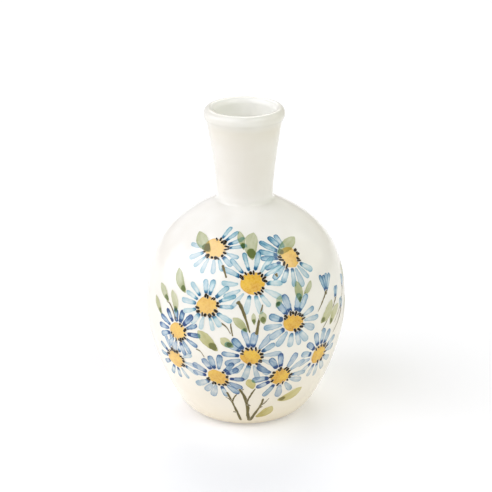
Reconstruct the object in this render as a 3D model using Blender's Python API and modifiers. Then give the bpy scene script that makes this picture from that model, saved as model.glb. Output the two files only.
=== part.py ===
"""Sake bottle (tokkuri): a squat ovoid belly, a flared neck with a rolled lip, and a turned foot ring.

The three clay sections are shaped apart and luted together, so each is its own solid. Units are metres, +Z is
up, and the origin is the middle of the circle that the foot ring stands on.
"""

import math

import bpy

# Overall
HEIGHT = 0.140
JOINT_GAP = 0.0003
SEGMENTS = 64
MERGE_DISTANCE = 0.00001

# Belly. A handle is the middle of a curve's pull, in radius and height.
BELLY_RADIUS = 0.04425
BELLY_WIDEST = 0.049
BELLY_WALL = 0.004
SHOULDER = (0.0132, 0.0986)
SHOULDER_HANDLE = (0.0343, 0.0876)
UPPER_BELLY_HANDLE = 0.0785
LOWER_BELLY_HANDLE = 0.032
HEEL_HANDLE = (0.0314, 0.0027)
HEEL = (0.0243, 0.0009)
HEEL_EDGE = (0.0241, 0.0007)
SEAT_RADIUS = 0.0128
SEAT_HEIGHT = 0.0988
UNDERSIDE_HEIGHT = 0.0040
UNDERSIDE_DOME = 0.0005

# Inside of the belly
FLOOR = (0.018, 0.008)
FLOOR_HANDLE = (0.030, 0.0086)
FLOOR_DISH = ((0.0, 0.0076), (0.010, 0.0078))
INNER_LOWER_HANDLE = 0.030
INNER_UPPER_HANDLE = 0.0755
INNER_SHOULDER_HANDLE = (0.032, 0.0835)
INNER_SHOULDER = (0.0112, 0.0945)
INNER_THROAT = (0.0096, 0.0954)
INNER_BORE = (0.0089, 0.0966)

# Neck
NECK_BORE = (0.0087, 0.108)
NECK_BORE_HANDLES = ((0.0094, 0.122), (0.0128, 0.131))
NECK_WAIST = (0.0123, 0.1015)
NECK_HANDLES = ((0.01475, 0.1235), (0.01275, 0.112))
NECK_FILLET = ((0.01235, 0.1005), (0.0125, 0.0999), (SEAT_RADIUS, 0.0995))
FLARE = (0.01575, 0.1305)
FLARE_HANDLES = ((0.01625, 0.1343), (0.01595, 0.133))

# Lip, an oval rim. Angles are in degrees from straight outwards.
LIP_CENTRE = (0.0154, 0.1371)
LIP_HALF_WIDTH = 0.00225
LIP_HALF_HEIGHT = HEIGHT - LIP_CENTRE[1]
LIP_OUTER_ANGLES = (90, 65, 40, 15, -10, -32)
LIP_INNER_ANGLES = (180, 155, 135, 112)
LIP_UNDER_ANGLE = -54
LIP_THROAT_ANGLE = 182

# Foot ring
FOOT_OUTER_RADIUS = 0.0236
FOOT_INNER_RADIUS = 0.0194
FOOT_CHAMFER = 0.0006

GLAZE_COLOUR = (0.84, 0.80, 0.71, 1.0)
GLAZE_ROUGHNESS = 0.14
CLAY_COLOUR = (0.84, 0.76, 0.62, 1.0)
CLAY_ROUGHNESS = 0.75


def arc(start, leave, arrive, end, count):
    """Points on a cubic Bezier from start to end, without its last point. Each point is (radius, height)."""
    points = []
    for i in range(count):
        t = i / count
        weights = ((1 - t) ** 3, 3 * (1 - t) ** 2 * t, 3 * (1 - t) * t * t, t ** 3)
        corners = (start, leave, arrive, end)
        radius = sum(w * c[0] for w, c in zip(weights, corners))
        height = sum(w * c[1] for w, c in zip(weights, corners))
        points.append((radius, height))
    return points


def lip_point(angle):
    """A point on the lip's oval section, at this angle."""
    a = math.radians(angle)
    return (LIP_CENTRE[0] + LIP_HALF_WIDTH * math.cos(a), LIP_CENTRE[1] + LIP_HALF_HEIGHT * math.sin(a))


def body_profile():
    """From the middle of the inner floor, up the inside, over the neck's seat and down the outside."""
    inner = BELLY_RADIUS - BELLY_WALL
    inner_widest = (inner, BELLY_WIDEST)
    widest = (BELLY_RADIUS, BELLY_WIDEST)
    socket = FOOT_OUTER_RADIUS + JOINT_GAP
    points = list(FLOOR_DISH)
    points += arc(FLOOR, FLOOR_HANDLE, (inner, INNER_LOWER_HANDLE), inner_widest, 9)
    points += arc(inner_widest, (inner, INNER_UPPER_HANDLE), INNER_SHOULDER_HANDLE, INNER_SHOULDER, 9)
    points += [INNER_SHOULDER, INNER_THROAT, INNER_BORE, (INNER_BORE[0], SEAT_HEIGHT)]
    points += [(SEAT_RADIUS, SEAT_HEIGHT)]
    points += arc(SHOULDER, SHOULDER_HANDLE, (BELLY_RADIUS, UPPER_BELLY_HANDLE), widest, 13)
    points += arc(widest, (BELLY_RADIUS, LOWER_BELLY_HANDLE), HEEL_HANDLE, HEEL, 13)
    points += [HEEL, HEEL_EDGE, (socket, HEEL_EDGE[1]), (socket, UNDERSIDE_HEIGHT)]
    points += [(0.0, UNDERSIDE_HEIGHT + UNDERSIDE_DOME)]
    return points


def neck_profile():
    """A closed loop: down the outside from the lip, across the base, and up the bore."""
    base = SEAT_HEIGHT + JOINT_GAP
    points = [lip_point(angle) for angle in LIP_OUTER_ANGLES]
    points += arc(lip_point(LIP_UNDER_ANGLE), *FLARE_HANDLES, FLARE, 4)
    points += arc(FLARE, *NECK_HANDLES, NECK_WAIST, 6)
    points += [NECK_WAIST, *NECK_FILLET, (SEAT_RADIUS, base)]
    points += [(NECK_BORE[0], base)]
    points += arc(NECK_BORE, *NECK_BORE_HANDLES, lip_point(LIP_THROAT_ANGLE), 7)
    points += [lip_point(angle) for angle in LIP_INNER_ANGLES]
    return points


def foot_profile():
    """A closed loop: down the outside of the ring, across the standing face, and up the inside."""
    top = UNDERSIDE_HEIGHT - JOINT_GAP
    return [
        (FOOT_OUTER_RADIUS, top),
        (FOOT_OUTER_RADIUS, FOOT_CHAMFER),
        (FOOT_OUTER_RADIUS - FOOT_CHAMFER, 0.0),
        (FOOT_INNER_RADIUS + FOOT_CHAMFER, 0.0),
        (FOOT_INNER_RADIUS, FOOT_CHAMFER),
        (FOOT_INNER_RADIUS, top),
    ]


def make_material(name, colour, roughness):
    material = bpy.data.materials.new(name)
    material.use_nodes = True
    shader = material.node_tree.nodes["Principled BSDF"]
    shader.inputs["Base Color"].default_value = colour
    shader.inputs["Roughness"].default_value = roughness
    shader.inputs["Metallic"].default_value = 0.0
    material.diffuse_color = colour
    return material


def turn(name, profile, closed, material, collection):
    """Spin a profile of (radius, height) points once round the Z axis."""
    count = len(profile)
    edges = [(i, i + 1) for i in range(count - 1)]
    if closed:
        edges.append((count - 1, 0))
    mesh = bpy.data.meshes.new(name)
    mesh.from_pydata([(radius, 0.0, height) for radius, height in profile], edges, [])
    mesh.materials.append(material)
    part = bpy.data.objects.new(name, mesh)
    collection.objects.link(part)
    screw = part.modifiers.new("Turn", "SCREW")
    screw.axis = "Z"
    screw.angle = math.tau
    screw.steps = SEGMENTS
    screw.render_steps = SEGMENTS
    screw.use_merge_vertices = True
    screw.merge_threshold = MERGE_DISTANCE
    screw.use_smooth_shade = True
    return part


for old in list(bpy.data.objects):
    bpy.data.objects.remove(old, do_unlink=True)

bottle = bpy.data.collections.new("sake_bottle")
bpy.context.scene.collection.children.link(bottle)

glazed_body = make_material("ivory_glaze_body", GLAZE_COLOUR, GLAZE_ROUGHNESS)
glazed_neck = make_material("ivory_glaze_neck", GLAZE_COLOUR, GLAZE_ROUGHNESS)
bare_clay = make_material("bare_clay", CLAY_COLOUR, CLAY_ROUGHNESS)

turn("body", body_profile(), False, glazed_body, bottle)
turn("neck", neck_profile(), True, glazed_neck, bottle)
turn("foot_ring", foot_profile(), True, bare_clay, bottle)
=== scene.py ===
"""The looks of the sake bottle: glazed clay, a bare foot, and a hand-painted spray of blue daisies.

Lengths inside this script are millimetres, and MM turns them into the scene's metres. A place on the bottle's
skin is an azimuth in degrees, 0 at the front (-Y) and growing towards +X, and a height. The painting is laid
out that way and then drawn stroke by stroke, each stroke a thin closed film of enamel that lies on the glaze.
"""

import math
import random

import bpy
import numpy as np
from mathutils import Matrix, Vector


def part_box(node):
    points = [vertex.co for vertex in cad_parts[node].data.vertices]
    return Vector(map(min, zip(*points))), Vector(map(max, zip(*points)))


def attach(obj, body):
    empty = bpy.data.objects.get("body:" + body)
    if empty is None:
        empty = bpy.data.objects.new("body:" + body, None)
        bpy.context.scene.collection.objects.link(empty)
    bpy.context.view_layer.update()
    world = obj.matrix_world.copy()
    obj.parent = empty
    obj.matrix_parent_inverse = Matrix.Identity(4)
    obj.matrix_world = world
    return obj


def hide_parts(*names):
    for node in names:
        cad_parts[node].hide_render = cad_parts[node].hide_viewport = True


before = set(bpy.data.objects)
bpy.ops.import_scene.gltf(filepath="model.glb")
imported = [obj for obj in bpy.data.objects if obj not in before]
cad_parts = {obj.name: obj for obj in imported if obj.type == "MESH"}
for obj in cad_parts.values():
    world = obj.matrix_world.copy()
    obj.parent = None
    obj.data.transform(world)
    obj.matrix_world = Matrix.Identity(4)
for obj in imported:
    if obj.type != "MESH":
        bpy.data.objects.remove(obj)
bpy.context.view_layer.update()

MM = 0.001

# ---- sizes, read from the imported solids

_, body_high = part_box("body")
neck_low, neck_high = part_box("neck")
_, foot_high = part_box("foot_ring")

# where the belly is widest, as a share of its height
WIDEST_SHARE = 0.495

BELLY = body_high.x / MM
WIDEST = WIDEST_SHARE * body_high.z / MM
JOINT = 0.5 * (body_high.z + neck_low.z) / MM
TOP = neck_high.z / MM
LIP = neck_high.x / MM
FOOT = foot_high.x / MM
FOOT_TOP = foot_high.z / MM

# what the boxes do not say, in mm: the heel's radius and height, the wall's thickness, the bore's radius, the
# gap that stands for the slip between the clay sections, and the foot ring's inner radius
HEEL = (24.3, 0.9)
WALL = 4.0
BORE = 8.8
LUTE_GAP = 0.3
FOOT_INSIDE = 19.4

# Half the lip's section across and up, the angles where it runs out into the neck and into the bore, and how
# many of its rows, from its inner side, face the opening.
LIP_HALF = (2.25, 2.9)
LIP_UNDER = -42
LIP_THROAT = 182
LIP_INSIDE = 12

# the columns of a turned shell, and the row of the neck's outline where the skin for painting ends
SEGMENTS = 256
SKIN_END = 70


# ---- the bottle's outline


def arc(start, leave, arrive, end, count):
    """Points on a cubic Bezier, without its last point, as rows of (radius, height)."""
    t = np.linspace(0.0, 1.0, count, endpoint=False)[:, None]
    corners = [np.array(corner, float) for corner in (start, leave, arrive, end)]
    weights = ((1 - t) ** 3, 3 * (1 - t) ** 2 * t, 3 * (1 - t) * t * t, t**3)
    return sum(weight * corner for weight, corner in zip(weights, corners))


def lip_curve(first, last, count):
    """The lip's oval section between two angles in degrees, counted from straight outwards."""
    angle = np.radians(np.linspace(first, last, count))
    half_width, half_height = LIP_HALF
    radius = LIP - half_width + half_width * np.cos(angle)
    height = TOP - half_height + half_height * np.sin(angle)
    return np.column_stack([radius, height])


def outer_arcs():
    """The outside from the heel up to the joint, and from the joint up to the lip."""
    shoulder = (13.2, JOINT - 0.35)
    crease = (12.8, JOINT)
    waist = (12.3, JOINT + 2.5)
    flare = (15.75, TOP - 9.5)
    lip = lip_curve(LIP_UNDER, LIP_UNDER, 1)[0]
    belly = np.vstack(
        [
            arc(HEEL, (31.4, 2.7), (BELLY, 32.0), (BELLY, WIDEST), 90),
            arc((BELLY, WIDEST), (BELLY, 78.5), (34.3, 87.6), shoulder, 90),
            arc(shoulder, (13.1, JOINT - 0.3), (12.95, JOINT - 0.2), crease, 5),
            [crease],
        ]
    )
    throat = np.vstack(
        [
            arc(crease, (12.5, JOINT + 0.35), (12.3, JOINT + 1.0), waist, 14),
            arc(waist, (12.75, 112.0), (14.75, 123.5), flare, 40),
            arc(flare, (16.1, 133.0), (16.7, 134.4), lip, 12),
            lip_curve(LIP_UNDER, 180, 40),
        ]
    )
    return belly, throat


BELLY_LINE, THROAT_LINE = outer_arcs()
SKIN_LINE = np.vstack([BELLY_LINE, THROAT_LINE[1:SKIN_END]])
SKIN_LENGTH = np.concatenate([[0.0], np.cumsum(np.hypot(*np.diff(SKIN_LINE, axis=0).T))])


def wobble(azimuth, height):
    """How far the thrower's hand leaves the wall from a true circle, in mm: slightly oval, faintly ringed."""
    calm_foot, calm_lip = 20.0, 12.0
    room = np.clip(height / calm_foot, 0.0, 1.0) * np.clip((TOP - height) / calm_lip, 0.0, 1.0)
    oval = 0.07 * np.cos(2 * azimuth + 0.6) + 0.04 * np.cos(3 * azimuth + height / 40.0)
    rings = 0.012 * np.sin(height * 0.8 + 0.7 * np.sin(azimuth)) + 0.008 * np.sin(height * 1.9 + azimuth)
    return room * (oval + rings)


def along_skin(height):
    """The distance along the outline, from the heel, of a height on the outside."""
    return np.interp(height, SKIN_LINE[:, 1], SKIN_LENGTH)


def radius_at(distance):
    """The outline's radius at a distance along it."""
    return np.interp(distance, SKIN_LENGTH, SKIN_LINE[:, 0])


def skin(azimuth, distance, lift):
    """Points on the outside at these azimuths (radians) and distances along the outline, raised by lift."""
    radius = radius_at(distance)
    height = np.interp(distance, SKIN_LENGTH, SKIN_LINE[:, 1])
    step = 0.25
    rise = np.interp(distance + step, SKIN_LENGTH, SKIN_LINE[:, 1]) - np.interp(
        distance - step, SKIN_LENGTH, SKIN_LINE[:, 1]
    )
    run = radius_at(distance + step) - radius_at(distance - step)
    slope = np.hypot(rise, run)
    out = radius + wobble(azimuth, height) + lift * rise / slope
    up = height - lift * run / slope
    return np.stack([out * np.sin(azimuth), -out * np.cos(azimuth), up], axis=-1)


# ---- meshes


def add(name, data):
    """A new object in the scene with this data."""
    made = bpy.data.objects.new(name, data)
    bpy.context.scene.collection.objects.link(made)
    return made


def place(name, points, faces, materials, slots=None, sharp=40.0):
    """A smooth-shaded piece from points in mm, riding on the bottle's one body."""
    mesh = bpy.data.meshes.new(name)
    mesh.from_pydata((np.asarray(points) * MM).tolist(), [], faces)
    for material in materials:
        mesh.materials.append(material)
    if slots is not None:
        mesh.polygons.foreach_set("material_index", slots)
    mesh.shade_smooth()
    mesh.set_sharp_from_angle(angle=math.radians(sharp))
    mesh.update()
    piece = add(name, mesh)
    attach(piece, "root")
    return piece


def turned(line, closed):
    """A shell turned from a line of (radius, height) that runs down its outer side.

    A closed line is a ring's section. An open one starts and ends on the axis, where one point stands for its
    whole row.
    """
    near_axis = 1.0
    azimuth = np.arange(SEGMENTS) * math.tau / SEGMENTS
    radius = line[:, 0][:, None]
    height = line[:, 1][:, None] + 0.0 * azimuth[None, :]
    out = radius + np.where(radius > near_axis, wobble(azimuth[None, :], height), 0.0)
    ring = np.stack([out * np.sin(azimuth), -out * np.cos(azimuth), height], axis=-1)
    rows = len(line)
    faces = []
    middle = [] if closed else [0, rows - 1]
    index = np.arange(rows * SEGMENTS).reshape(rows, SEGMENTS)
    points = ring.reshape(-1, 3)
    following = range(rows) if closed else range(rows - 1)
    for row in following:
        below = (row + 1) % rows
        for column in range(SEGMENTS):
            beside = (column + 1) % SEGMENTS
            if row in middle:
                faces.append((index[row, 0], index[below, column], index[below, beside]))
            elif below in middle:
                faces.append((index[row, beside], index[row, column], index[below, 0]))
            else:
                faces.append(
                    (index[row, column], index[below, column], index[below, beside], index[row, beside])
                )
    return points, [tuple(int(i) for i in face) for face in faces]


def without_spares(points, faces):
    """Drop the points no face uses, such as the rest of a row that meets on the axis."""
    used = np.unique(np.concatenate([np.array(face) for face in faces]))
    fresh = np.full(len(points), -1)
    fresh[used] = np.arange(len(used))
    return points[used], [tuple(int(fresh[i]) for i in face) for face in faces]


# ---- node helpers


def fresh_material(name):
    """A material with only a Principled shader and its output."""
    material = bpy.data.materials.new(name)
    material.use_nodes = True
    return material, material.node_tree, material.node_tree.nodes["Principled BSDF"]


def node(tree, kind, links=None, **settings):
    """A node with its properties set, and each named or numbered input given a value or a socket."""
    made = tree.nodes.new(kind)
    for key, value in settings.items():
        setattr(made, key, value)
    for key, value in (links or {}).items():
        if isinstance(value, bpy.types.NodeSocket):
            tree.links.new(value, made.inputs[key])
        else:
            made.inputs[key].default_value = value
    return made


def sum_of(tree, a, b):
    return node(tree, "ShaderNodeMath", {0: a, 1: b}, operation="ADD").outputs[0]


def product(tree, a, b):
    return node(tree, "ShaderNodeMath", {0: a, 1: b}, operation="MULTIPLY").outputs[0]


def fade(tree, value, low, high, first=0.0, last=1.0):
    """A smooth step of value from first to last between low and high."""
    links = {"Value": value, "From Min": low, "From Max": high, "To Min": first, "To Max": last}
    return node(tree, "ShaderNodeMapRange", links, interpolation_type="SMOOTHSTEP").outputs[0]


def opaque(colour):
    """A colour with the fourth number that Blender wants."""
    return (*colour, 1.0)


def blend(tree, factor, first, second, how="MIX"):
    """Two colours mixed by a factor. A colour is a socket or three numbers."""
    mixed = node(tree, "ShaderNodeMix", data_type="RGBA", blend_type=how)
    for socket, value in (("Factor_Float", factor), ("A_Color", first), ("B_Color", second)):
        target = next(s for s in mixed.inputs if s.identifier == socket)
        if isinstance(value, bpy.types.NodeSocket):
            tree.links.new(value, target)
        else:
            target.default_value = opaque(value) if isinstance(value, tuple) else value
    return next(s for s in mixed.outputs if s.identifier == "Result_Color")


def ramp(tree, value, stops):
    """A colour ramp from (position, colour) stops."""
    made = node(tree, "ShaderNodeValToRGB", {"Fac": value})
    elements = made.color_ramp.elements
    for end, (position, colour) in ((elements[0], stops[0]), (elements[1], stops[-1])):
        end.position = position
        end.color = opaque(colour)
    for position, colour in stops[1:-1]:
        elements.new(position).color = opaque(colour)
    return made.outputs["Color"]


def noise(tree, where, scale, detail=2.0, rough=0.5):
    links = {"Vector": where, "Scale": scale, "Detail": detail, "Roughness": rough}
    return node(tree, "ShaderNodeTexNoise", links).outputs["Fac"]


def reading(tree, name):
    """A number stored on the mesh's points."""
    return node(tree, "ShaderNodeAttribute", attribute_name=name).outputs["Fac"]


def place_on_bottle(tree):
    """The object-space place, and its height in metres."""
    where = node(tree, "ShaderNodeTexCoord").outputs["Object"]
    split = node(tree, "ShaderNodeSeparateXYZ", {"Vector": where})
    return where, split.outputs["Z"]


# ---- materials


# A petal's wash: how dense it is inside, and what its rim, its tip and the pool at its root add to that.
PETAL_BODY = 0.275
PETAL_RIM = 0.21
PETAL_TIP = 0.20
PETAL_POOL = 1.1

# how far in from a petal's outline its soft edge and its rim reach, in mm
SOFT_EDGE = 0.33
RIM_REACH = 0.75

LEAF_DAB_DENSITY = 0.86
GLAZE_IOR = 1.5
INK_SPECULAR = 0.2


def ivory(tree):
    """The fired glaze's colour by height: faintly clouded, deeper where it pools, and with painted light in
    its steps.
    """
    where, height = place_on_bottle(tree)
    # By height: cool white above and creamier below, partly the glaze's own tone and partly painted warm
    # light bounced up from the floor. The neck and the underside of the lip's flare are darker: painted
    # shade. The heel is darkest and brownest: partly a warm glaze edge, partly painted shade next to the
    # floor.
    tone_and_painted_shade = ramp(
        tree,
        product(tree, height, 1 / (TOP * MM)),
        [
            (0.0, (0.78, 0.67, 0.48)),
            (0.03, (0.83, 0.745, 0.57)),
            (0.055, (0.86, 0.785, 0.63)),
            (0.1, (0.86, 0.80, 0.67)),
            (0.28, (0.83, 0.795, 0.70)),
            (0.42, (0.805, 0.785, 0.71)),
            (0.55, (0.825, 0.805, 0.74)),
            (0.65, (0.85, 0.84, 0.785)),
            (0.705, (0.82, 0.805, 0.75)),
            (0.74, (0.77, 0.745, 0.675)),
            (0.88, (0.76, 0.735, 0.66)),
            (0.945, (0.735, 0.705, 0.61)),
            (0.965, (0.75, 0.735, 0.66)),
            (1.0, (0.79, 0.785, 0.72)),
        ],
    )
    cloud = fade(tree, noise(tree, where, 42.0, 3.0), 0.35, 0.7)
    clouded = blend(tree, cloud, tone_and_painted_shade, (0.96, 0.945, 0.92), "MULTIPLY")
    crease = product(
        tree,
        fade(tree, height, (JOINT - 1.6) * MM, (JOINT + 0.2) * MM),
        fade(tree, height, (JOINT + 0.4) * MM, (JOINT + 2.6) * MM, 1.0, 0.0),
    )
    pooled = blend(tree, product(tree, crease, 0.3), clouded, (0.86, 0.87, 0.80), "MULTIPLY")
    return pooled, where


def glaze_finish(tree, shader, where, colour):
    """A colour under the glaze's gloss: nearly smooth, with the faint pebble of a stoneware glaze."""
    tree.links.new(colour, shader.inputs["Base Color"])
    patches = fade(tree, noise(tree, where, 90.0), 0.3, 0.7, 0.13, 0.2)
    tree.links.new(patches, shader.inputs["Roughness"])
    pebble = sum_of(tree, noise(tree, where, 420.0), product(tree, noise(tree, where, 140.0, 1.0), 1.4))
    bump = node(tree, "ShaderNodeBump", {"Strength": 0.06, "Distance": 0.0002, "Height": pebble})
    tree.links.new(bump.outputs["Normal"], shader.inputs["Normal"])
    shader.inputs["IOR"].default_value = GLAZE_IOR


def glaze_material(name):
    material, tree, shader = fresh_material(name)
    colour, where = ivory(tree)
    glaze_finish(tree, shader, where, colour)
    return material


def inner_glaze_material():
    """The glaze inside: paler than outside, as painted light that lifts the bore's shade, with the faint
    rings that the potter's fingers leave.
    """
    material, tree, shader = fresh_material("ivory_glaze_inside")
    where, height = place_on_bottle(tree)
    cloud = fade(tree, noise(tree, where, 60.0, 3.0), 0.3, 0.7)
    rings = node(tree, "ShaderNodeCombineXYZ", {"X": 0.0, "Y": 0.0, "Z": height}).outputs[0]
    ridge = fade(tree, noise(tree, rings, 260.0), 0.3, 0.7)
    # these pale colours are painted light: brighter than the glaze outside, so the shade inside the bore
    # reads lighter
    clouded = blend(tree, cloud, (0.87, 0.867, 0.815), (0.855, 0.85, 0.785))
    ringed = blend(tree, product(tree, ridge, 0.3), clouded, (0.82, 0.81, 0.74))
    glaze_finish(tree, shader, where, ringed)
    return material


def clay_material():
    """Bare fired clay: sandy, matte, browner where the glaze stopped."""
    material, tree, shader = fresh_material("bare_clay_foot")
    where, height = place_on_bottle(tree)
    grain = noise(tree, where, 900.0, 4.0, 0.7)
    stops = [(0.3, (0.76, 0.66, 0.50)), (0.5, (0.87, 0.79, 0.65)), (0.7, (0.92, 0.86, 0.74))]
    edge = fade(tree, height, 1.2 * MM, 3.0 * MM)
    toasted = blend(tree, product(tree, edge, 0.35), ramp(tree, grain, stops), (0.66, 0.48, 0.30))
    tree.links.new(toasted, shader.inputs["Base Color"])
    tree.links.new(fade(tree, grain, 0.3, 0.7, 0.7, 0.92), shader.inputs["Roughness"])
    bump = node(tree, "ShaderNodeBump", {"Strength": 0.5, "Distance": 0.0001, "Height": grain})
    tree.links.new(bump.outputs["Normal"], shader.inputs["Normal"])
    return material


def streaks(tree, width_scale, length_scale):
    """Brush streaks that run along a stroke."""
    across = product(tree, reading(tree, "across"), width_scale)
    along = product(tree, reading(tree, "along"), length_scale)
    where = node(tree, "ShaderNodeCombineXYZ", {"X": across, "Y": along, "Z": reading(tree, "seed")})
    return noise(tree, where.outputs[0], 1.0)


def ragged_edge(tree, where, amount):
    """The distance in mm to the stroke's outline, made uneven as paint is that creeps under a glaze."""
    creep = fade(tree, noise(tree, where, 800.0), 0.3, 0.7, -amount, amount)
    return sum_of(tree, reading(tree, "edge"), creep)


# What a wash leaves of the light, channel by channel, at each of these densities. A bare glaze keeps it all.
WASH_STEPS = (0.3, 0.5, 0.75, 1.0)
CYAN = [(0.60, 0.77, 0.86), (0.375, 0.62, 0.745), (0.15, 0.40, 0.56), (0.03, 0.15, 0.32)]
COBALT = [(0.555, 0.655, 0.805), (0.33, 0.46, 0.675), (0.11, 0.21, 0.45), (0.015, 0.05, 0.23)]
SAGE = [(0.67, 0.70, 0.53), (0.45, 0.50, 0.29), (0.22, 0.29, 0.10), (0.06, 0.09, 0.015)]
DRY_SAGE = [(0.72, 0.69, 0.37), (0.55, 0.50, 0.16), (0.30, 0.27, 0.06), (0.10, 0.09, 0.015)]


def dyed(tree, density, dye):
    """The light that a wash of this dye lets through at a density."""
    return ramp(tree, density, [(0.0, (1.0, 1.0, 1.0)), *zip(WASH_STEPS, dye)])


def petal_material():
    """Thin blue wash: soft at its outline, pooled just inside it, at the tip and sometimes at the root."""
    material, tree, shader = fresh_material("blue_wash")
    base, where = ivory(tree)
    edge = ragged_edge(tree, where, 0.1)
    soft = fade(tree, edge, 0.0, SOFT_EDGE)
    rim = fade(tree, edge, SOFT_EDGE, RIM_REACH, PETAL_RIM, 0.0)
    tip = fade(tree, reading(tree, "along"), 0.5, 1.0, 0.0, PETAL_TIP)
    streak = fade(tree, streaks(tree, 0.9, 1.2), 0.3, 0.7, -0.06, 0.06)
    cloud = fade(tree, noise(tree, where, 330.0, 3.0), 0.3, 0.7, -0.09, 0.09)
    tone = sum_of(tree, sum_of(tree, rim, tip), sum_of(tree, streak, cloud))
    tone = sum_of(tree, tone, sum_of(tree, PETAL_BODY, product(tree, reading(tree, "pool"), PETAL_POOL)))
    own = product(tree, product(tree, tone, reading(tree, "load")), soft)
    bare = sum_of(tree, 1.0, product(tree, own, -1.0))
    bare_under = sum_of(tree, 1.0, product(tree, reading(tree, "under"), -1.0))
    density = sum_of(tree, 1.0, product(tree, product(tree, bare, bare_under), -1.0))
    wash = blend(tree, reading(tree, "hue"), dyed(tree, density, CYAN), dyed(tree, density, COBALT))
    glaze_finish(tree, shader, where, blend(tree, 1.0, base, wash, "MULTIPLY"))
    return material


def disc_material():
    """Yellow ochre dabbed over orange, soft at its outline."""
    material, tree, shader = fresh_material("ochre_dabs")
    base, where = ivory(tree)
    dabs = node(tree, "ShaderNodeTexVoronoi", {"Vector": where, "Scale": 1100.0, "Randomness": 1.0})
    speckle = fade(tree, dabs.outputs["Distance"], 0.1, 0.7)
    cloud = fade(tree, noise(tree, where, 260.0, 3.0), 0.3, 0.7)
    yellow = blend(tree, cloud, (0.75, 0.45, 0.035), (0.60, 0.285, 0.02))
    light = blend(tree, product(tree, speckle, 0.4), yellow, (0.80, 0.56, 0.12))
    pale = blend(tree, product(tree, reading(tree, "hue"), 0.6), light, (0.86, 0.63, 0.30))
    rim = fade(tree, reading(tree, "edge"), 0.2, 0.9, 0.35, 0.0)
    paint = blend(tree, rim, pale, (0.60, 0.30, 0.04))
    soft = fade(tree, ragged_edge(tree, where, 0.06), 0.0, 0.25)
    glaze_finish(tree, shader, where, blend(tree, soft, base, paint))
    return material


def ink_material(name, thick, thin, soften=0.1):
    """A loaded brush of dark enamel that thins where the stroke leaves the surface."""
    material, tree, shader = fresh_material(name)
    base, where = ivory(tree)
    streak = fade(tree, streaks(tree, 2.5, 2.0), 0.3, 0.75)
    paint = blend(tree, product(tree, streak, 0.6), thick, thin)
    soft = fade(tree, ragged_edge(tree, where, 0.3 * soften), 0.0, soften)
    cover = product(tree, reading(tree, "load"), soft)
    glaze_finish(tree, shader, where, blend(tree, cover, base, paint))
    shader.inputs["Specular IOR Level"].default_value = INK_SPECULAR
    return material


def leaf_material():
    """Sage wash with a faint rim and a dark dab dropped in wet, over whatever was painted before it."""
    material, tree, shader = fresh_material("sage_wash")
    base, where = ivory(tree)
    gold = fade(tree, reading(tree, "gold"), -0.05, 0.2)
    over = blend(tree, gold, base, (0.76, 0.50, 0.12))
    over = blend(tree, 1.0, over, dyed(tree, reading(tree, "under"), CYAN), "MULTIPLY")
    creep = fade(tree, noise(tree, where, 700.0), 0.3, 0.7, -0.12, 0.12)
    edge = sum_of(tree, reading(tree, "edge"), product(tree, creep, 0.7))
    streak = fade(tree, streaks(tree, 0.8, 1.0), 0.3, 0.7, -0.035, 0.035)
    rim = fade(tree, edge, 0.2, 0.7, 0.08, 0.0)
    cloud = fade(tree, noise(tree, where, 260.0), 0.3, 0.7, -0.04, 0.04)
    tone = sum_of(tree, fade(tree, reading(tree, "along"), 0.1, 1.0, 0.33, 0.42), sum_of(tree, streak, rim))
    wash = product(tree, reading(tree, "load"), sum_of(tree, tone, cloud))
    dab = fade(tree, sum_of(tree, reading(tree, "pool"), creep), -0.25, 0.3)
    room = sum_of(tree, LEAF_DAB_DENSITY, product(tree, wash, -1.0))
    density = product(tree, sum_of(tree, wash, product(tree, dab, room)), fade(tree, edge, 0.0, 0.3))
    green = blend(tree, reading(tree, "hue"), dyed(tree, density, SAGE), dyed(tree, density, DRY_SAGE))
    glaze_finish(tree, shader, where, blend(tree, 1.0, over, green, "MULTIPLY"))
    return material


GLAZE_BODY = glaze_material("ivory_glaze_body")
GLAZE_NECK = glaze_material("ivory_glaze_neck")
GLAZE_INSIDE = inner_glaze_material()
CLAY = clay_material()
BLUE_WASH = petal_material()
OCHRE = disc_material()
BROWN_INK = ink_material("brown_black_ink", (0.015, 0.010, 0.004), (0.05, 0.036, 0.015))
STEM_INK = ink_material("stem_ink", (0.08, 0.06, 0.004), (0.19, 0.15, 0.02), 0.14)
GREEN_WASH = leaf_material()


# ---- clay pieces


def inner_lines():
    """The inside of the belly from the floor's middle up to the joint, and the bore from the lip down."""
    widest = (BELLY - WALL, WIDEST)
    shoulder = (11.2, 94.5)
    bore_low = (BORE, 97.2)
    bore_high = (BORE, 108.0)
    belly = np.vstack(
        [
            [(0.0, 7.6), (5.0, 7.65), (10.0, 7.8), (14.0, 7.9)],
            arc((18.0, 8.0), (30.0, 8.6), (widest[0], 30.0), widest, 26),
            arc(widest, (widest[0], 75.5), (32.0, 83.5), shoulder, 26),
            arc(shoulder, (9.8, 95.2), (BORE, 96.0), bore_low, 6),
            [bore_low, (BORE, JOINT)],
        ]
    )
    lip = lip_curve(LIP_THROAT, LIP_THROAT, 1)[0]
    throat = np.vstack(
        [
            arc(lip, (12.8, 131.0), (9.4, 122.0), bore_high, 40),
            arc(bore_high, (BORE, 105.0), (BORE, 102.0), (BORE, JOINT), 8),
            [(BORE, JOINT)],
        ]
    )
    return belly, throat


def lined(line, outer_rows):
    """A slot for each face of a turned shell: 0 on the outside, whose rows these are, and 1 on the lining."""
    return np.repeat([0 if row in outer_rows else 1 for row in range(len(line))], SEGMENTS)


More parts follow.
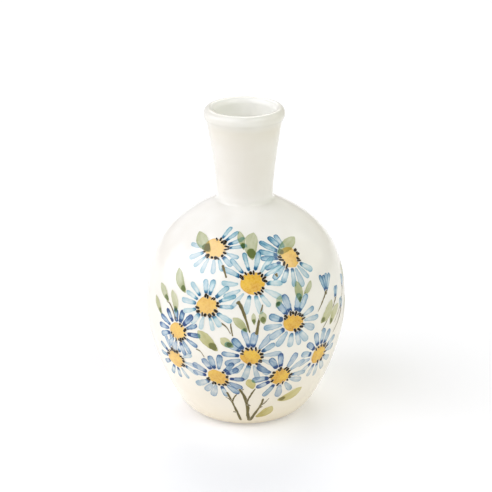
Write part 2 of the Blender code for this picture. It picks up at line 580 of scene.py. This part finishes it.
def make_clay():
    """The belly, the neck and the foot ring, each a closed shell that replaces its solid."""
    inner_belly, inner_throat = inner_lines()
    heel_edge = (24.1, 0.7)
    ring = FOOT + LUTE_GAP
    roof = FOOT_TOP + LUTE_GAP
    socket = [heel_edge, (ring, heel_edge[1]), (ring, roof)]
    underside = [(19.0, roof + 0.1), (10.0, roof + 0.3), (0.0, roof + 0.5)]
    belly_line = np.vstack([inner_belly, BELLY_LINE[::-1], socket, underside])
    belly_slots = lined(belly_line[1:], range(len(inner_belly) - 1, len(belly_line)))
    points, faces = without_spares(*turned(belly_line, False))
    belly = place("belly", points, faces, [GLAZE_BODY, GLAZE_INSIDE], belly_slots)
    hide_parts("body")

    neck_line = np.vstack([THROAT_LINE[::-1], inner_throat[::-1]])
    neck_slots = lined(neck_line, range(LIP_INSIDE, len(THROAT_LINE)))
    neck = place("neck_and_lip", *turned(neck_line, True), [GLAZE_NECK, GLAZE_INSIDE], neck_slots)
    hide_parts("neck")

    # how far the foot's section stands in from its side, at each height from its top down to its face
    section = [(0.1, FOOT_TOP), (0.0, FOOT_TOP - 0.2), (0.0, 0.75), (0.15, 0.3), (0.6, 0.0)]
    outside = [(FOOT - inset, height) for inset, height in section]
    inside = [(FOOT_INSIDE + inset, height) for inset, height in reversed(section)]
    foot = place("bare_foot", *turned(np.array(outside + inside), True), [CLAY])
    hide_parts("foot_ring")


# ---- enamel strokes


# a distance in mm that is well outside any stroke or disc
OUTSIDE = -5.0

# How far a film's underside is sunk into the glaze, and how high above it each kind of stroke lies, in mm.
# The petals of a daisy or of a bud lie a step apart, and so do the levels of the daisies.
FILM_DEPTH = 0.02
PETAL_LIFT, PETAL_STEP, LEVEL_STEP = 0.02, 0.004, 0.05
BUD_LIFT, BUD_STEP = 0.03, 0.01
CUP_LIFT = 0.1
STEM_LIFT = 0.12
ON_GLAZE = 0.14
DISC_LIFT, DISC_DOME = 0.25, 0.05
STAMEN_LIFT = 0.31
ON_FLOWER = 0.34


class Enamel:
    """Collects strokes and turns them into one piece. Each stroke is a grid of places on the skin."""

    READINGS = ("along", "across", "edge", "load", "hue", "under", "pool", "gold", "seed")

    def __init__(self, name, materials):
        self.name = name
        self.materials = materials
        self.points = []
        self.faces = []
        self.slots = []
        self.readings = {key: [] for key in self.READINGS}
        self.count = 0

    def film(self, azimuth, distance, lift, slot, **readings):
        """A closed film whose top lies lift above the glaze and whose underside is sunk into it."""
        rows, columns = azimuth.shape
        top = skin(azimuth, distance, lift).reshape(-1, 3)
        bottom = skin(azimuth, distance, -FILM_DEPTH).reshape(-1, 3)
        size = rows * columns
        index = np.arange(size).reshape(rows, columns) + self.count
        corners = [index[:-1, :-1], index[:-1, 1:], index[1:, 1:], index[1:, :-1]]
        quads = np.stack(corners, axis=-1).reshape(-1, 4)
        edge = np.concatenate([index[0, :-1], index[:-1, -1], index[-1, :0:-1], index[:0:-1, 0]])
        after = np.roll(edge, -1)
        walls = np.stack([edge, edge + size, after + size, after], axis=-1)
        self.faces += quads[:, ::-1].tolist() + (quads + size).tolist() + walls[:, ::-1].tolist()
        self.slots += [slot] * (2 * len(quads) + len(walls))
        self.points += [top, bottom]
        self.count += 2 * size
        for key in self.READINGS:
            value = np.broadcast_to(np.asarray(readings.get(key, 0.0), float), (rows, columns)).reshape(-1)
            self.readings[key] += [value, value]

    def finish(self):
        """Make the piece, and store each reading on its points."""
        points = np.concatenate(self.points)
        faces = [tuple(face) for face in self.faces]
        piece = place(self.name, points, faces, self.materials, self.slots, sharp=60.0)
        for key in self.READINGS:
            stored = piece.data.attributes.new(key, "FLOAT", "POINT")
            stored.data.foreach_set("value", np.concatenate(self.readings[key]))


def smooth_line(points, count):
    """A Catmull-Rom curve through a few points, as count rows."""
    points = np.asarray(points, float)
    if len(points) == 2:
        return points[0] + np.linspace(0, 1, count)[:, None] * (points[1] - points[0])
    padded = np.vstack([2 * points[0] - points[1], points, 2 * points[-1] - points[-2]])
    t = np.linspace(0, len(points) - 1 - 1e-9, count)
    first = t.astype(int)
    u = (t - first)[:, None]
    a, b, c, d = (padded[first + k] for k in range(4))
    return 0.5 * (2 * b + (c - a) * u + (2 * a - 5 * b + 4 * c - d) * u**2 + (3 * b - a - 3 * c + d) * u**3)


def ribbon_grid(line, widths, columns):
    """A ribbon along a line in mm, as grids of both coordinates and the reading across it, -1 to 1."""
    ahead = np.gradient(line, axis=0)
    ahead /= np.linalg.norm(ahead, axis=1)[:, None] + 1e-9
    side = np.column_stack([ahead[:, 1], -ahead[:, 0]])
    across = np.linspace(-1.0, 1.0, columns)[None, :]
    reach = widths[:, None] * across
    return line[:, 0, None] + side[:, 0, None] * reach, line[:, 1, None] + side[:, 1, None] * reach, across


# how far the whole painting is turned to the right, in degrees
SPRAY_TURN = 0.7


class Spot:
    """A place on the skin that flat drawing coordinates, in mm to the right and up, are laid around."""

    def __init__(self, azimuth, height):
        self.azimuth = math.radians(azimuth + SPRAY_TURN)
        self.distance = float(along_skin(height))

    def lay(self, right, up):
        """The azimuth and the distance along the outline of flat drawing coordinates."""
        distance = self.distance + up
        return self.azimuth + right / radius_at(distance), distance

    def flatten(self, azimuth, distance):
        """The flat drawing coordinates of an azimuth and a distance."""
        return (azimuth - self.azimuth) * radius_at(distance), distance - self.distance


def stroke(enamel, slot, spot, line, widths, lift, columns=5, **readings):
    """A brush stroke along a line of flat points around a spot."""
    right, up, across = ribbon_grid(line, widths, columns)
    length = np.concatenate([[0.0], np.cumsum(np.linalg.norm(np.diff(line, axis=0), axis=1))])
    along = np.broadcast_to((length / length[-1])[:, None], right.shape)
    to_side = widths[:, None] * (1 - np.abs(across))
    to_end = np.minimum(length, length[-1] - length)[:, None] + 0.0 * across
    azimuth, distance = spot.lay(right, up)
    enamel.film(
        azimuth,
        distance,
        lift,
        slot,
        along=along,
        across=widths[:, None] * across,
        edge=np.minimum(to_side, to_end),
        **readings,
    )


def blob(enamel, slot, spot, half_sizes, turn, lift, steps, dome=0.0, rough=0.0, rng=None, **readings):
    """A rounded dab on a spot: a square grid pressed into an oval, its outline a little uneven."""
    grid = np.linspace(-1.0, 1.0, 2 * steps + 1)
    u, v = np.meshgrid(grid, grid, indexing="ij")
    x = u * np.sqrt(1 - v * v / 2)
    y = v * np.sqrt(1 - u * u / 2)
    angle = np.arctan2(y, x)
    reach = np.minimum(np.hypot(x, y), 1.0)
    uneven = 0.0
    if rng is not None:
        for waves in (2, 3, 5, 7, 9):
            uneven = uneven + rng.uniform(-1, 1) * np.cos(waves * angle + rng.uniform(0, math.tau)) / waves
    swell = 1 + rough * uneven * reach
    x = x * half_sizes[0] * swell
    y = y * half_sizes[1] * swell
    cosine, sine = math.cos(turn), math.sin(turn)
    right = x * cosine - y * sine
    up = x * sine + y * cosine
    azimuth, distance = spot.lay(right, up)
    inward = (1 - reach) * min(half_sizes)
    enamel.film(
        azimuth,
        distance,
        lift + dome * (1 - reach**2),
        slot,
        along=0.5 + 0.5 * reach,
        across=x,
        edge=inward,
        **readings,
    )


# ---- daisies


PETAL_ROWS = 19
PETAL_COLUMNS = 9
DAISY_SEED = 410


class Petal:
    """One loaded-brush petal: narrow where it leaves the disc, round at the tip, slightly bent."""

    def __init__(self, spot, angle, start, length, width, bend, load, hue, seed, pool):
        self.spot = spot
        self.load = load
        self.hue = hue
        self.seed = seed
        even = np.linspace(0.0, 1.0, PETAL_ROWS)
        heading = angle + bend * (even - 0.3)
        step = length / (PETAL_ROWS - 1)
        walk = np.column_stack([np.cos(heading), np.sin(heading)]) * step
        origin = start * np.array([math.cos(angle), math.sin(angle)])
        line = origin + np.vstack([[0.0, 0.0], np.cumsum(walk[:-1], axis=0)])
        # the rows crowd towards the tip, where the outline turns the most
        t = 1 - (1 - even) ** 1.25
        self.line = np.column_stack([np.interp(t, even, line[:, k]) for k in (0, 1)])
        root = 0.46 + 0.2 * min(pool, 1.0)
        widest_from, pool_reach = 0.68, 2.2
        swell = root + (1 - root) * np.sin(np.clip(t / widest_from, 0, 1) * math.pi / 2) ** 1.5
        self.pool = (pool * np.clip(1 - t * length / pool_reach, 0, 1) ** 0.7)[:, None]
        cap = 1.15 * width / length
        round_end = np.sqrt(np.clip(1 - np.clip((t - 1 + cap) / cap, 0, 1) ** 2, 0.0, 1))
        root_end = np.sqrt(np.clip(1 - (1 - np.clip(t / (0.5 * cap), 0, 1)) ** 2, 0.0, 1))
        self.widths = np.maximum(width * swell * round_end * root_end, 0.02)

    def density(self, azimuth, distance):
        """How dense this petal's wash is at places on the skin, about as its material paints it."""
        right, up = self.spot.flatten(azimuth, distance)
        gap = np.hypot(right[..., None] - self.line[:, 0], up[..., None] - self.line[:, 1])
        nearest = gap.argmin(axis=-1)
        inside = self.widths[nearest] - gap.min(axis=-1)
        along = nearest / (len(self.line) - 1)
        rim = PETAL_RIM * np.clip((RIM_REACH - inside) / (RIM_REACH - SOFT_EDGE), 0, 1)
        body = PETAL_BODY + rim + PETAL_TIP * np.clip(2 * along - 1, 0, 1)
        return np.clip(inside / SOFT_EDGE, 0, 1) * np.clip(self.load * body, 0, 0.9)


def density_under(petals, spot, azimuth, distance):
    """How dense the washes of all these petals are together, at places on the skin near a spot."""
    near_up, near_round = 30, 0.9
    clear = np.ones_like(azimuth)
    for petal in petals:
        near = abs(petal.spot.distance - spot.distance) < near_up
        if near and abs(petal.spot.azimuth - spot.azimuth) < near_round:
            clear = clear * (1 - petal.density(azimuth, distance))
    return 1 - clear


def paint_petal(enamel, petal, done, lift):
    """One petal, darker where it crosses a petal that was painted before it, and then counted as painted."""
    right, up, _ = ribbon_grid(petal.line, petal.widths, PETAL_COLUMNS)
    azimuth, distance = petal.spot.lay(right, up)
    stroke(
        enamel,
        0,
        petal.spot,
        petal.line,
        petal.widths,
        lift,
        columns=PETAL_COLUMNS,
        load=petal.load,
        hue=petal.hue,
        under=density_under(done, petal.spot, azimuth, distance),
        pool=petal.pool,
        seed=petal.seed,
    )
    done.append(petal)


class Daisy:
    """A garden daisy: a ring of petals round a dabbed disc with dark stamens at its edge.

    home is its azimuth, height and level. shape is its number of petals, their reach and half width in mm,
    and the direction of the deeper ones in degrees. wash is the petals' hue and strength, span the directions
    of the first and the last petal, disc half the disc's size in mm, and pale how pale the disc's ochre is.
    """

    def __init__(self, number, home, shape, wash, span=None, disc=4.6, pale=0.0):
        azimuth, height, self.level = home
        petals, reach, wide, deep = shape
        hue, strength = wash
        self.number = number
        self.spot = Spot(azimuth, height)
        self.rng = random.Random(DAISY_SEED + number)
        self.disc = (disc + self.rng.uniform(0.0, 0.5), disc + self.rng.uniform(-0.5, 0.0))
        self.turn = self.rng.uniform(-0.4, 0.4)
        self.deep = math.radians(deep)
        self.pale = pale
        self.petals = []
        first, last = span or (0.0, 360.0 - 360.0 / petals)
        for i in range(petals):
            angle = math.radians(first + (last - first) * i / (petals - 1) + self.rng.uniform(-5, 5))
            nearness = 0.5 + 0.5 * math.cos(angle - self.deep)
            start = self.disc_radius(angle) + self.rng.uniform(0.0, 0.45)
            length = reach * self.rng.uniform(0.86, 1.12)
            width = 0.95 * wide * self.rng.uniform(0.86, 1.16)
            bend = self.rng.uniform(-0.3, 0.3)
            load = strength * (0.72 + 0.55 * nearness * self.rng.uniform(0.6, 1.25))
            tone = min(max(hue + self.rng.uniform(-0.15, 0.15), 0.0), 1.0)
            seed = self.rng.uniform(0, 50)
            pooled = self.rng.random() < 0.3 + 0.6 * nearness
            pool = self.rng.uniform(0.8, 1.4) if pooled else 0.15
            self.petals.append(Petal(self.spot, angle, start, length, width, bend, load, tone, seed, pool))

    def disc_radius(self, angle):
        """How far the disc's outline is from its middle in a direction."""
        local = angle - self.turn
        return 1 / math.hypot(math.cos(local) / self.disc[0], math.sin(local) / self.disc[1])

    def depth_in_disc(self, azimuth, distance):
        """How far inside the disc's outline places on the skin are, in mm, and negative outside it."""
        right, up = self.spot.flatten(azimuth, distance)
        return self.disc[0] - np.hypot(right, up)

    def paint_petals(self, earlier):
        """The petals, each darker where it crosses a petal that was painted before it."""
        enamel = Enamel(f"daisy_{self.number:02d}_petals", [BLUE_WASH])
        order = list(range(len(self.petals)))
        self.rng.shuffle(order)
        done = list(earlier)
        for rank, i in enumerate(order):
            lift = PETAL_LIFT + LEVEL_STEP * self.level + PETAL_STEP * rank
            paint_petal(enamel, self.petals[i], done, lift)
        enamel.finish()
        return done

    def paint_centre(self):
        """The disc, and the stamens round its edge."""
        enamel = Enamel(f"daisy_{self.number:02d}_centre", [OCHRE, BROWN_INK])
        looks = dict(dome=DISC_DOME, rough=0.11, rng=self.rng, hue=self.pale)
        blob(enamel, 0, self.spot, self.disc, self.turn, DISC_LIFT, steps=12, **looks)
        stamens = self.rng.randint(15, 19)
        skipped = self.deep + self.rng.uniform(0.8, 2.4)
        gap = self.rng.uniform(0.4, 0.95)
        for i in range(stamens):
            angle = math.tau * (i + self.rng.uniform(-0.42, 0.42)) / stamens
            if math.cos(angle - skipped) > gap:
                continue
            radius = self.disc_radius(angle) + self.rng.uniform(-0.5, 0.15)
            lean = angle + self.rng.uniform(-0.6, 0.6)
            half = self.rng.uniform(0.65, 1.4)
            middle = radius * np.array([math.cos(angle), math.sin(angle)])
            ahead = half * np.array([math.cos(lean), math.sin(lean)])
            rows = 7
            line = smooth_line([middle - ahead, middle + ahead], rows)
            t = np.linspace(0, 1, rows)
            widths = self.rng.uniform(0.42, 0.75) * np.sqrt(np.clip(1 - (2 * t - 1) ** 4, 0.02, 1))
            seed = self.rng.uniform(0, 50)
            stroke(enamel, 1, self.spot, line, widths, STAMEN_LIFT, load=1.0, seed=seed)
        enamel.finish()


# home, shape and wash, as Daisy takes them, and then what is not as usual
DAISIES = [
    ((-24, 86, 0), (12, 7.4, 1.3, 45), (0.1, 0.9), dict(span=(-175, 75), disc=5.0, pale=1.0)),
    ((31, 82, 0), (12, 8.2, 1.5, 140), (0.3, 1.3), dict(span=(95, 325), pale=0.5)),
    ((3.5, 74.2, 1), (14, 8.2, 1.35, 100), (0.05, 0.95), dict(disc=5.0)),
    ((-23, 64, 2), (14, 7.4, 1.3, 60), (0.05, 0.95), dict(disc=4.7, pale=0.5)),
    ((26.7, 55.8, 2), (14, 8.0, 1.6, 110), (0.6, 1.12), dict()),
    ((-42, 49.5, 1), (14, 7.4, 1.45, 80), (0.8, 1.7), dict(pale=0.5)),
    ((-47, 35, 0), (12, 7.0, 1.4, 180), (0.7, 1.1), dict(pale=0.5)),
    ((2.2, 42, 0), (14, 8.2, 1.65, 130), (0.7, 1.15), dict()),
    ((-18, 30.3, 1), (14, 7.6, 1.6, 20), (0.9, 1.25), dict(disc=4.4, pale=0.2)),
    ((20.4, 30.2, 1), (12, 7.8, 1.65, 150), (0.85, 1.2), dict()),
    ((47.2, 36.2, 0), (13, 7.6, 1.6, 90), (0.75, 1.1), dict()),
    ((160, 72, 0), (13, 8.0, 1.35, 90), (0.15, 0.95), dict()),
    ((186, 58, 1), (14, 8.0, 1.5, 120), (0.4, 1.0), dict()),
    ((150, 46, 2), (13, 7.8, 1.55, 60), (0.6, 1.05), dict()),
]


# ---- leaves, stems and buds


STEM_LOAD = 0.95

# a bud's petals: the degrees between them, their half width in mm and their hue; and half its cup's size
BUD_FAN = 17
BUD_WIDTH = 1.35
BUD_HUE = 0.5
CUP_HALF = (1.2, 0.75)

GREENERY_SEED = 77


def between(start, end, bend):
    """A spot on the first of two places in (azimuth, height), and a bowed line of flat points from it."""
    spot = Spot(*start)
    far = Spot(*end)
    right, up = spot.flatten(far.azimuth, far.distance)
    middle = (0.5 * right - bend * up, 0.5 * up + bend * right)
    return spot, smooth_line([(0.0, 0.0), middle, (right, up)], 23)


def leaf(enamel, painted, daisies, tip, base, width, dab, lift, load, bend, seed):
    """A leaf pulled from its tip to its base in one wash, with a dark dab dropped in near the base."""
    spot, line = between(tip, base, bend)
    t = np.linspace(0, 1, len(line))
    widths = np.maximum(width * np.sin(math.pi * t**0.8) ** (1.0 - 0.45 * t), 0.03)
    columns = 11
    right, up, _ = ribbon_grid(line, widths, columns)
    azimuth, distance = spot.lay(right, up)
    pool = OUTSIDE
    if dab:
        ahead = (line[-1] - line[-4]) / np.linalg.norm(line[-1] - line[-4])
        size = dab * width
        middle = line[-1] - (1.2 * size + 0.8) * ahead
        away = right - middle[0], up - middle[1]
        forward = (away[0] * ahead[0] + away[1] * ahead[1]) / 1.2
        sideways = away[1] * ahead[0] - away[0] * ahead[1]
        pool = size - np.hypot(forward, sideways)
    gold = np.full_like(azimuth, OUTSIDE)
    for daisy in daisies:
        gold = np.maximum(gold, daisy.depth_in_disc(azimuth, distance))
    stroke(
        enamel,
        0,
        spot,
        line,
        widths,
        lift,
        columns=columns,
        load=load,
        hue=min(max((60 - base[1]) / 30, 0.0), 1.0),
        under=density_under(painted, spot, azimuth, distance),
        pool=pool,
        gold=gold,
        seed=seed,
    )


def stem(enamel, places, widths, seed):
    """A thin brush line through places in (azimuth, height), its half width easing from first to last."""
    spot = Spot(*places[0])
    spots = [Spot(*place_at) for place_at in places]
    flat = [spot.flatten(other.azimuth, other.distance) for other in spots]
    count = 12 * len(places)
    line = smooth_line(flat, count)
    t = np.linspace(0, 1, count)
    shake = 1.2 + 0.2 * np.sin(t * 8 + seed * 5) * np.sin(t * 17 + seed)
    ends = np.sqrt(np.clip(np.minimum(t, 1 - t) / 0.03, 0.05, 1))
    eased = widths[0] + (widths[1] - widths[0]) * t
    stroke(enamel, 0, spot, line, eased * shake * ends, STEM_LIFT, load=STEM_LOAD, seed=seed)


# tip, base, half the width in mm, the share of that its dark dab's radius takes, and how high the film lies
# where that is not ON_GLAZE
LEAVES = {
    "leaves_left": [
        ((-46, 90), (-27, 84.6), 2.6, 0.75, ON_FLOWER),
        ((-47, 76.5), (-37.5, 67.5), 2.3, 0.55),
        ((-60, 67.5), (-50, 61.2), 2.0, 0.6),
        ((-64, 61), (-56, 54), 1.9, 0.55),
        ((-48.5, 67), (-43.5, 57.5), 2.0, 0.5),
        ((-28.5, 52.5), (-16.5, 44), 2.7, 0.65),
        ((-15, 50.5), (-7.5, 46.5), 2.1, 0.5),
    ],
    "leaves_middle": [
        ((-7, 92), (-1.5, 86), 1.6, 0.75),
        ((7.5, 91.5), (4.2, 82.6), 3.1, 0.62),
        ((44, 88), (22.5, 83.6), 2.5, 0.5, ON_FLOWER),
        ((19.5, 68.5), (16.5, 63.5), 1.5, 0.6, ON_FLOWER),
        ((-8, 60), (0, 53.5), 1.9, 0.35),
        ((3.5, 62), (4, 56.5), 1.1, 0.75),
        ((8, 62.5), (9.5, 56.8), 1.8, 0.6),
        ((0, 30), (3.5, 24.5), 2.2, 0.0),
        ((40, 20.5), (21, 16.4), 3.0, 0.45),
        ((18.5, 13.2), (6.5, 6.8), 2.8, 0.0),
    ],
    "leaves_right": [
        ((31, 73), (32.5, 63), 2.1, 0.5),
        ((42, 71.5), (34.5, 66), 1.5, 0.3),
        ((58, 59.5), (46, 51.5), 2.8, 0.4),
        ((66, 55.5), (54.5, 48.5), 2.3, 0.45),
        ((86, 69), (81.5, 62), 1.9, 0.5),
        ((89, 52), (79.5, 49.5), 1.9, 0.5),
    ],
    "leaves_back": [
        ((142, 84), (150, 76.5), 2.6, 0.6),
        ((176, 84), (172, 74), 2.4, 0.6),
        ((200, 74), (192, 66), 2.2, 0.6),
        ((132, 62), (140, 54), 2.2, 0.55),
        ((170, 52), (176, 43), 2.5, 0.6),
        ((204, 48), (195, 41), 2.3, 0.55),
        ((150, 30), (158, 22), 2.5, 0.6),
        ((187, 27), (176, 20), 2.4, 0.0),
    ],
}

# places in (azimuth, height) along each stem, and half its width in mm at both ends
STEMS = {
    "stems_front": [
        ([(-16, 80.8), (-14.5, 79), (-12.5, 76)], (0.6, 0.34)),
        ([(-5.5, 67), (-3.5, 65), (-1, 60), (1.5, 53)], (0.85, 0.34)),
        ([(9, 65.5), (7, 60), (5, 52)], (0.26, 0.62)),
        ([(-9, 58.5), (-9, 56), (-8, 51.5)], (0.2, 0.34)),
        ([(-16, 57.5), (-12, 56), (-9, 52.5)], (0.42, 0.2)),
        ([(-30, 43.5), (-27, 42.5), (-25, 40)], (0.3, 0.18)),
        ([(-52, 61.5), (-48, 60), (-43, 54.5)], (0.42, 0.26)),
        ([(-13.5, 22.6), (-11, 17.5), (-8, 10.5), (-5.5, 4.4)], (0.42, 0.52)),
        ([(-7, 21.5), (-9, 19.5), (-10.5, 17)], (0.28, 0.4)),
        ([(-15, 19.5), (-12.5, 18.4), (-11, 17)], (0.22, 0.34)),
        ([(-11, 10.6), (-8.2, 10.2)], (0.42, 0.28)),
        ([(-5.2, 24.8), (-2, 20), (0, 14), (0.2, 9), (1.8, 4.2)], (0.6, 0.72)),
        ([(5, 24.8), (2.5, 21.5), (-0.5, 17)], (0.32, 0.46)),
        ([(-0.2, 15.5), (2.2, 14.4)], (0.55, 0.25)),
        ([(2, 4.3), (5.5, 9), (9.5, 14.5), (10.8, 18.6)], (0.62, 0.4)),
        ([(9.6, 14.5), (12, 15.6), (15, 18.4)], (0.36, 0.18)),
        ([(8.4, 12.9), (11, 13.6)], (0.5, 0.22)),
        ([(-3.4, 24.4), (-2.8, 24)], (0.6, 0.6)),
        ([(18.4, 77.2), (19.4, 75.8)], (0.7, 0.4)),
    ],
    "stems_right": [
        ([(53, 64.5), (49.5, 61.5), (44, 57)], (0.6, 0.2)),
        ([(62, 58.5), (56, 54), (46.5, 47.5)], (0.42, 0.18)),
        ([(76, 60), (72, 56), (60, 48)], (0.34, 0.16)),
        ([(70, 51.5), (66, 48), (59, 43.5)], (0.45, 0.18)),
        ([(93, 66), (87, 62), (80, 54), (75, 44)], (0.36, 0.18)),
    ],
    "stems_back": [
        ([(160, 64), (162, 52), (166, 38), (170, 22), (172, 6)], (0.36, 0.68)),
        ([(185, 49), (180, 36), (174, 20)], (0.36, 0.5)),
        ([(150, 38), (157, 28), (168, 17)], (0.34, 0.48)),
        ([(172, 6), (179, 13), (186, 21)], (0.6, 0.26)),
        ([(132, 72), (140, 66), (146, 58)], (0.5, 0.2)),
        ([(210, 66), (203, 60), (196, 54)], (0.5, 0.2)),
    ],
}

# place, heading in degrees, length in mm, petals
BUDS = {
    "buds_right": [
        ((53, 64), 80, 8.0, 4),
        ((62, 58.5), 70, 5.6, 2),
        ((76, 60), 72, 6.0, 3),
        ((70, 51.5), 80, 5.6, 3),
        ((93, 66), 55, 6.2, 4),
    ],
    "buds_back": [((132, 72), 110, 6.4, 4), ((210, 66), 70, 6.4, 4)],
}


def make_greenery(painted, daisies):
    """The leaves, the stems and the buds, painted after the daisies."""
    seeds = random.Random(GREENERY_SEED)
    for name, leaves in LEAVES.items():
        enamel = Enamel(name, [GREEN_WASH])
        for tip, base, width, dab, *raised in leaves:
            lift = raised[0] if raised else ON_GLAZE
            load = seeds.uniform(0.95, 1.25)
            bend = seeds.uniform(-0.1, 0.1)
            leaf(enamel, painted, daisies, tip, base, width, dab, lift, load, bend, seeds.uniform(0, 50))
        enamel.finish()
    for name, stems in STEMS.items():
        enamel = Enamel(name, [STEM_INK])
        for places, widths in stems:
            stem(enamel, places, widths, seeds.uniform(0, 50))
        enamel.finish()
    for name, buds in BUDS.items():
        enamel = Enamel(name, [BLUE_WASH, STEM_INK])
        for place_at, heading, length, petals in buds:
            spot = Spot(*place_at)
            done = []
            for i in range(petals):
                angle = math.radians(heading + BUD_FAN * (i - 0.5 * (petals - 1)))
                size = length * seeds.uniform(0.85, 1.1)
                bend = seeds.uniform(-0.2, 0.2)
                load = seeds.uniform(0.9, 1.5)
                seed = seeds.uniform(0, 50)
                petal = Petal(spot, angle, 0.2, size, BUD_WIDTH, bend, load, BUD_HUE, seed, 1.0)
                paint_petal(enamel, petal, done, BUD_LIFT + BUD_STEP * i)
            blob(enamel, 1, spot, CUP_HALF, math.radians(heading), CUP_LIFT, steps=4, load=0.9)
        enamel.finish()


def make_painting():
    """The daisies, each over the ones before it, and then the greenery."""
    painted = []
    daisies = [Daisy(number, *facts, **unusual) for number, (*facts, unusual) in enumerate(DAISIES, start=1)]
    for daisy in daisies:
        painted = daisy.paint_petals(painted)
        daisy.paint_centre()
    make_greenery(painted, daisies)


# ---- stage, light and camera


def make_stage():
    """A plain pale floor that glows a little: painted light that lifts the bottle's contact shadow and the
    soft shadow beside it.
    """
    mesh = bpy.data.meshes.new("floor")
    size = 6.0
    corners = [(-size, -size, 0), (size, -size, 0), (size, size, 0), (-size, size, 0)]
    mesh.from_pydata(corners, [], [(0, 1, 2, 3)])
    floor = add("floor", mesh)
    material, tree, shader = fresh_material("pale_floor")
    shader.inputs["Base Color"].default_value = (0.76, 0.765, 0.775, 1)
    # the floor's glow is painted light, not a lamp: it lifts the shadows under and beside the bottle
    shader.inputs["Emission Color"].default_value = (1.0, 1.0, 1.0, 1)
    shader.inputs["Emission Strength"].default_value = 0.2
    shader.inputs["Roughness"].default_value = 0.9
    shader.inputs["Specular IOR Level"].default_value = 0.2
    mesh.materials.append(material)


def soft_light(name, azimuth, rise, away, side, power, colour):
    """A square soft box that looks at the bottle's middle, from an azimuth and a height angle in degrees."""
    middle = Vector((0.0, 0.0, TOP * MM / 2))
    turn, lift = math.radians(azimuth), math.radians(rise)
    towards = Vector((math.cos(lift) * math.sin(turn), -math.cos(lift) * math.cos(turn), math.sin(lift)))
    lamp = bpy.data.lights.new(name, "AREA")
    lamp.shape = "SQUARE"
    lamp.size = side
    lamp.energy = power
    lamp.color = colour
    light = add(name, lamp)
    light.location = middle + away * towards
    light.rotation_euler = towards.to_track_quat("Z", "Y").to_euler()


# name, azimuth and rise in degrees, distance and side in metres, power in watts, colour
SOFT_BOXES = [
    ("key_left", -60, 40, 1.9, 2.0, 29.7, (1.0, 0.99, 1.08)),
    ("low_left", -98, 15, 1.6, 1.1, 6.5, (0.92, 0.99, 1.08)),
    ("front_right", 50, 40, 1.6, 1.1, 10.1, (0.97, 1.0, 0.97)),
    ("right", 100, 30, 1.6, 1.1, 4.1, (1.0, 1.0, 0.85)),
    ("behind", 180, 45, 1.6, 1.1, 12.6, (1.03, 1.0, 0.97)),
    ("low_front", 0, 8, 1.6, 1.1, 2.4, (0.95, 1.0, 1.05)),
]


def make_light():
    """A white room: a large key box, weaker boxes round the bottle, and walls bright near the horizon."""
    for box in SOFT_BOXES:
        soft_light(*box)
    world = bpy.data.worlds.new("studio")
    world.use_nodes = True
    tree = world.node_tree
    way = node(tree, "ShaderNodeTexCoord").outputs["Generated"]
    rise = node(tree, "ShaderNodeSeparateXYZ", {"Vector": way}).outputs["Z"]
    background = tree.nodes["Background"]
    background.inputs["Color"].default_value = (1.0, 0.96, 0.92, 1)
    tree.links.new(fade(tree, rise, 0.25, 0.5, 0.48, 0.03), background.inputs["Strength"])
    bpy.context.scene.world = world
    bpy.context.scene.view_settings.view_transform = "Standard"


def make_camera():
    """A long lens that looks down at the front, rolled a touch as the photo is."""
    place_at, focal_length, nearest = (0.0003, -0.750, 0.360), 132.6, 0.01
    down, roll = math.radians(20.75), math.radians(-0.43)
    lens = bpy.data.cameras.new("camera")
    lens.sensor_width = 36.0
    lens.lens = focal_length
    lens.clip_start = nearest
    camera = add("camera", lens)
    camera.location = place_at
    turn = Matrix.Rotation(math.pi / 2 - down, 3, "X") @ Matrix.Rotation(roll, 3, "Z")
    camera.rotation_euler = turn.to_euler()
    bpy.context.scene.camera = camera


make_clay()
make_painting()
make_stage()
make_light()
make_camera()
